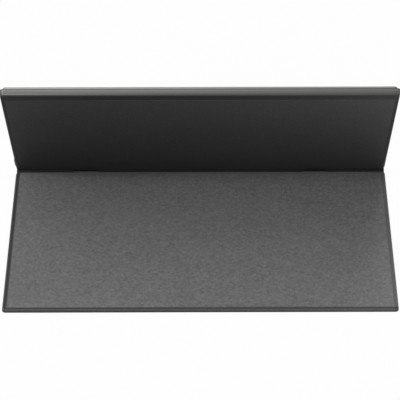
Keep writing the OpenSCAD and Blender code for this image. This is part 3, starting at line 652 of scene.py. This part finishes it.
def tidy_mesh(mesh, flatten=False):
    """Merges doubled points, turns faces outwards and marks the sharp edges. `flatten` joins the triangles of each
    flat face."""
    work = bmesh.new()
    work.from_mesh(mesh)
    bmesh.ops.remove_doubles(work, verts=work.verts, dist=MERGE)
    bmesh.ops.dissolve_degenerate(work, edges=work.edges, dist=MERGE)
    if flatten:
        bmesh.ops.dissolve_limit(work, angle_limit=FLAT, verts=work.verts, edges=work.edges)
    bmesh.ops.recalc_face_normals(work, faces=work.faces)
    work.to_mesh(mesh)
    work.free()
    mesh.shade_smooth()
    mesh.set_sharp_from_angle(angle=SHARP)


def add_piece(name, mesh, body, slot, replaces, material=None):
    """Links a finished mesh, gives it its material, and puts it on its body."""
    mesh.materials.clear()
    mesh.materials.append(material or finishes[slot])
    piece = bpy.data.objects.new(name, mesh)
    bpy.context.scene.collection.objects.link(piece)
    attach(piece, body)
    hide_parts(*replaces)
    return piece


def surface_piece(name, grids, place, body, slot, replaces, material=None):
    """Grids are (points, wrap) pairs in a place's millimetres."""
    points, faces, start = [], [], 0
    for grid, wrap in grids:
        points.append(grid.reshape(-1, 3))
        faces.append(quads(*grid.shape[:2], wrap) + start)
        start += len(points[-1])
    mesh = bpy.data.meshes.new(name)
    mesh.from_pydata(place.world(np.vstack(points)).tolist(), [], np.vstack(faces).tolist())
    tidy_mesh(mesh)
    add_piece(name, mesh, body, slot, replaces, material)
    print(f"{name}: {len(mesh.vertices)} points, {len(mesh.polygons)} faces")


print("piece makers ready")

# %% [markdown]
# ## Back panel and flap
# The same skin is used twice. On the monitor's back it is a thin sheet, glued into a shallow bed, with a cut edge
# that is barely rounded. On the flap it is wrapped round a stiff board: the edge is a soft roll, the sheet turns in
# behind it, and a line is pressed all round, a little inside the edge. The flap's profile runs from the middle of
# the outer face, through the pressed line, over the rolled edge, round the turned hem and into the board's pocket.

# %% Skins
SKIN_SPANS = (64, 42)
CORNER = 3.0         # corner radius of the flap and of the bezel
PANEL_CORNERS = (0.3, 0.3, 1.5, 1.5)
PANEL_TURN = 0.6     # the panel's flat face begins this far in
PANEL_RADII, FLAP_RADII = (0.22, 0.1), (1.0, 0.7)   # each edge's outer and inner corner
SUPPORT = 0.12       # a loop this close to a bend keeps the flat beside it flat
HEM_IN, POCKET_IN = 1.6, 3.0   # from the flap's edge to the hem's end and to the pocket's wall
SHEET_T = 0.75       # thickness of the sheet that makes the pocket


def pressed_line(height):
    """The groove sinks as (1 + cos) / 2 of the distance from its middle line."""
    share = np.linspace(-1, 1, 9)
    inset = PRESS_IN + PRESS_W / 2 - share * PRESS_W / 2
    return np.column_stack([inset, height - PRESS_D * (1 + np.cos(share * np.pi)) / 2])


def ripple(x, y):
    """Three slow sine waves: glued sheets are never quite flat."""
    return 0.035 * (np.sin(x / 23 + 1.1) * np.cos(y / 31) + np.sin(x / 57 + y / 41) + 0.6 * np.sin(y / 17 - x / 73))


def sheet(name, place, node, body, corners, profile, material):
    """A skin whose profile runs from its outer face, over its edge, to its inner face."""
    low, high = place.extent(node)
    shell = rings((low[0], low[1], high[0], high[1]), corners, profile, SKIN_SPANS)
    grids = [(shell, True), (patch(shell[0], SKIN_SPANS, ripple), False), (patch(shell[-1], SKIN_SPANS), False)]
    surface_piece(name, grids, place, body, "cover_skin", (node,), material)


panel_low, panel_high = back.extent("back_skin")
panel_edge = [(PANEL_TURN, panel_high[2]), (0, panel_high[2]), (0, panel_low[2]), (PANEL_TURN, panel_low[2])]
panel_profile = softened(panel_edge, PANEL_RADII)
sheet("panel_skin", back, "back_skin", "monitor", PANEL_CORNERS, panel_profile, panel_grain_painted_shade)

flap_low, flap_high = flap_top.extent("flap_skin")
face, hem = flap_high[2], flap_low[2]
flap_edge = softened([(PRESS_IN - SUPPORT, face), (0, face), (0, hem), (HEM_IN, hem)], FLAP_RADII, 6)
flap_pocket = [(HEM_IN, hem), (HEM_IN, hem + SHEET_T), (POCKET_IN, hem + SHEET_T), (POCKET_IN, face - SHEET_T)]
flap_profile = np.vstack([[(PRESS_IN + PRESS_W + SUPPORT, face)], pressed_line(face), flap_edge, flap_pocket])
sheet("flap_cover", flap_top, "flap_skin", "flap", CORNER, flap_profile, flap_grain)

# %% [markdown]
# ## Lining
# A soft sheet glued inside the flap's hem. Its edge is cut and pressed down, so its profile is a shallow pillow.

# %% Lining
LINING_SPANS = (48, 32)
LINING_CORNER = 1.0
low, high = flap_under.extent("flap_lining")
lining_edge = [(1.2, high[2]), (0.0, high[2]), (0.0, low[2]), (1.0, low[2])]
shell = rings((low[0], low[1], high[0], high[1]), LINING_CORNER, softened(lining_edge, (0.35, 0.1)), LINING_SPANS)
lining_grids = [(shell, True), (patch(shell[0], LINING_SPANS), False), (patch(shell[-1], LINING_SPANS), False)]
surface_piece("lining", lining_grids, flap_under, "flap", "lining", ("flap_lining",))

# %% [markdown]
# ## Front bezel
# A thin moulded frame, a step smaller than the casing behind it, with a lip over the edge of the glass. Its outline
# and its window are not concentric: the chin below the screen is deeper. So each loop has a box of its own, from
# the outside wall, over the rounded brow, down the chamfered window and back under the lip.

# %% Bezel
BEZEL_SPANS = (24, 16)
LIP = 0.9
SIGHT = 0.3          # gap between the lit area and the window's edge
BROW_R = 0.6         # radius of the brow's rounding
low, high = front.extent("front_bezel")
outline = np.array([low[0], low[1], high[0], high[1]])
window = np.array([lit_low[0] - SIGHT, lit_low[1] - SIGHT, lit_high[0] + SIGHT, lit_high[1] + SIGHT])
POCKET_GROW = np.array([-1.6, -24.0, 1.6, 2.0])    # the hollow behind the lip is deepest in the chin
GROW = np.array([-1, -1, 1, 1])
brow = high[2] - 0.04          # the front face
lip_back = high[2] - LIP + 0.02
root = low[2] + 0.1            # where the walls end, at the seam


def bezel_loop(box, grow, radius, height):
    """A loop round a box that is made larger on every side by `grow`."""
    loop = rounded(box + grow * GROW, radius, BEZEL_SPANS)
    return np.column_stack([loop, np.full(len(loop), height)])


arc = np.linspace(0, np.pi / 2, 6)
chamfer = ((0.45, brow), (0.35, brow), (0.05, brow - 0.3), (0.0, brow - 0.38), (0.0, lip_back))   # grow, height
loops = [bezel_loop(outline, 0, CORNER, root), bezel_loop(outline, 0, CORNER, brow - BROW_R - SUPPORT)]
loops += [bezel_loop(outline, -BROW_R * (1 - np.cos(a)), CORNER, brow - BROW_R * (1 - np.sin(a))) for a in arc]
loops += [bezel_loop(outline, -BROW_R - SUPPORT, CORNER - 0.5, brow)]
loops += [bezel_loop(window, grow, 0.5, height) for grow, height in chamfer]
loops += [bezel_loop(window + POCKET_GROW, 0, 0.8, height) for height in (lip_back, root)]
surface_piece("bezel_frame", [(np.array(loops + loops[:1]), True)], front, "monitor", "bezel", ("front_bezel",))

# %% [markdown]
# ## Casing, keys, spine and hinges
# These solids already have their openings, so a bevelled copy is the honest way: a boolean cut made here would only
# repeat what the CAD has done. The copy's loose triangles are merged into flat faces before the Bevel modifier
# softens its edges, and its real holes and slots stay.

# %% Bevelled copies
BEVEL_SEGMENTS, BEVEL_ANGLE = 2, np.radians(40)
COPIES = {  # node: piece, slot, width of the bevel in mm
    "rear_housing": ("housing", "casing", 0.3), "power_key": ("power_button", "casing", 0.35),
    "dimmer_key": ("dimmer_button", "casing", 0.35), "brighter_key": ("brighter_button", "casing", 0.35),
    "spine_bar": ("spine", "spine", 0.2), "spine_caps": ("spine_ends", "switch_black", 0.25),
    "monitor_leaf_left": ("left_monitor_leaf", "hinge_steel", 0.12),
    "monitor_leaf_right": ("right_monitor_leaf", "hinge_steel", 0.12),
    "flap_leaf_left": ("left_flap_leaf", "hinge_steel", 0.12),
    "flap_leaf_right": ("right_flap_leaf", "hinge_steel", 0.12),
    "lower_socket": ("lower_port", "plated", 0.08), "upper_socket": ("upper_port", "plated", 0.08),
    "board_shield": ("shield", "tray_steel", 0.15), "backlight_tray": ("tray", "tray_steel", 0.1),
}


def bevelled_copy(name, node, body, slot, width, material=None):
    """A CAD node's own shape with softened edges."""
    mesh = nodes[node].data.copy()
    mesh.name = name
    tidy_mesh(mesh, flatten=True)
    piece = add_piece(name, mesh, body, slot, (node,), material)
    bevel = piece.modifiers.new("edges", "BEVEL")
    bevel.width, bevel.segments = width * MM, BEVEL_SEGMENTS
    bevel.limit_method, bevel.angle_limit = "ANGLE", BEVEL_ANGLE
    bevel.harden_normals = True
    print(f"{name}: bevelled copy of {node}, {len(mesh.polygons)} flat faces")


body_of_node = {node: body for body, members in frame["record"]["behaviour"]["bodies"].items() for node in members}
for node, (name, slot, width) in COPIES.items():
    bevelled_copy(name, node, body_of_node[node], slot, width, socket_finishes.get(node))

# %% [markdown]
# ## Everything else keeps its CAD shape
# Boards, films, screws and magnets lie inside. They stay as they are, and only take their finish.

# %% Finishes on the other nodes
slot_of_node = {entry["node"]: entry["material_slot"] for entry in frame["record"]["subparts"]}
left_plain = [node for node, thing in nodes.items() if not thing.hide_render]
for node in left_plain:
    nodes[node].data.materials.clear()
    nodes[node].data.materials.append(finishes[slot_of_node[node]])
print(f"{len(left_plain)} nodes keep their CAD mesh")

# %% [markdown]
# ## A small studio
# A broad lamp hangs high at the left of the camera and gives the soft main light. A small one, lower and farther
# away, gives the upper edges their bright lines. A weak one low at the right and one behind, for the screen side,
# fill in what these leave dark.

# %% Lamps
AIM = (0, 0, 0.06)
LAMPS = {  # azimuth and elevation in degrees, distance and size in metres, power in watts
    "key_lamp": (-58, 60, 0.9, 0.9, 4.2),
    "brow_lamp": (-35, 46, 1.5, 0.25, 13),
    "right_fill": (50, 13, 0.5, 0.15, 0.72),
    "rear_lamp": (172, 35, 1.8, 0.9, 14),
}


def around(azimuth, elevation, distance):
    """A point at a distance from the object: azimuth 0 is in front of it, and positive is to the camera's right."""
    turn, rise = np.radians([azimuth, elevation])
    return distance * np.array([np.sin(turn) * np.cos(rise), -np.cos(turn) * np.cos(rise), np.sin(rise)])


def lamp(name, at, size, power):
    """A square area lamp that looks at the object."""
    light = bpy.data.lights.new(name, "AREA")
    light.size, light.energy = size, power
    thing = bpy.data.objects.new(name, light)
    look = Vector(AIM) - Vector(at)
    thing.matrix_world = Matrix.Translation(at) @ look.to_track_quat("-Z", "Y").to_matrix().to_4x4()
    thing.visible_camera = False
    bpy.context.scene.collection.objects.link(thing)


for name, (azimuth, elevation, distance, size, power) in LAMPS.items():
    lamp(name, around(azimuth, elevation, distance), size, power)
print(f"{len(LAMPS)} lamps")

# %% [markdown]
# ## The room
# The room gives a little light from everywhere. Camera, mirror and glass rays see it as white, so the background is
# clean but the object isn't flooded.

# %% Room
ROOM = 0.12
room = bpy.data.worlds.new("room")
room.use_nodes = True
bpy.context.scene.world = room
tree = room.node_tree
tree.nodes.clear()
path = tree.nodes.new("ShaderNodeLightPath")
seen = path.outputs["Is Camera Ray"]
for ray in ("Is Glossy Ray", "Is Transmission Ray"):
    either = tree.nodes.new("ShaderNodeMath")
    either.operation = "MAXIMUM"
    tree.links.new(seen, either.inputs[0])
    tree.links.new(path.outputs[ray], either.inputs[1])
    seen = either.outputs[0]
level_of = tree.nodes.new("ShaderNodeMapRange")
tree.links.new(seen, level_of.inputs["Value"])
level_of.inputs["To Min"].default_value = ROOM
level_of.inputs["To Max"].default_value = 1.0
glow = tree.nodes.new("ShaderNodeBackground")
tree.links.new(level_of.outputs[0], glow.inputs["Strength"])
end = tree.nodes.new("ShaderNodeOutputWorld")
tree.links.new(glow.outputs[0], end.inputs["Surface"])
print("room light", ROOM)

# %% [markdown]
# ## The floor
# A white floor would throw light back up at the object. This one is a dark grey for that light, and it looks nearly
# white to the same rays as the room does. The little of its grey that is left there keeps a faint shadow.

# %% Floor
FLOOR_HALF = 6.0
FLOOR_DROP = 0.0002    # in metres, so that the object's underside doesn't lie in the same plane
FLOOR_GREY = (0.12, 0.12, 0.12)
WHITE_SHARE = 0.985


def floor_finish():
    """A diffuse grey that keeps shadows, mixed with a white glow for the rays that see it directly."""
    finish = Finish("pale_floor", **{"Roughness": 0.9, "Specular IOR Level": 0.0})
    finish.wear(finish.grey(0.97 + finish.noise(400.0) * 0.05, FLOOR_GREY))
    path = finish.node("ShaderNodeLightPath", output="Is Camera Ray")
    glossy, through = (Wire(finish, path.socket.node.outputs[ray]) for ray in ("Is Glossy Ray", "Is Transmission Ray"))
    white = finish.node("ShaderNodeEmission", inputs={"Color": (1, 1, 1, 1), "Strength": 1.0})
    plain = Wire(finish, finish.shader.outputs[0])
    seen = path.most(glossy).most(through) * WHITE_SHARE
    both = finish.node("ShaderNodeMixShader", inputs={0: seen, 1: plain, 2: white})
    output = next(node for node in finish.tree.nodes if node.bl_idname == "ShaderNodeOutputMaterial")
    finish.tree.links.new(both.socket, output.inputs["Surface"])
    return finish.material


floor_mesh = bpy.data.meshes.new("floor")
square = [(x * FLOOR_HALF, y * FLOOR_HALF, -FLOOR_DROP) for x, y in ((-1, -1), (1, -1), (1, 1), (-1, 1))]
floor_mesh.from_pydata(square, [], [(0, 1, 2, 3)])
floor_mesh.materials.append(floor_finish())
floor = bpy.data.objects.new("floor", floor_mesh)
bpy.context.scene.collection.objects.link(floor)
print(f"floor {2 * FLOOR_HALF:.0f} m wide")

# %% [markdown]
# ## Last line
# A small helper turns a box's corners into plain numbers.

# %% Boxes as plain numbers
def plain(box):
    return [[float(value) for value in corner] for corner in box]
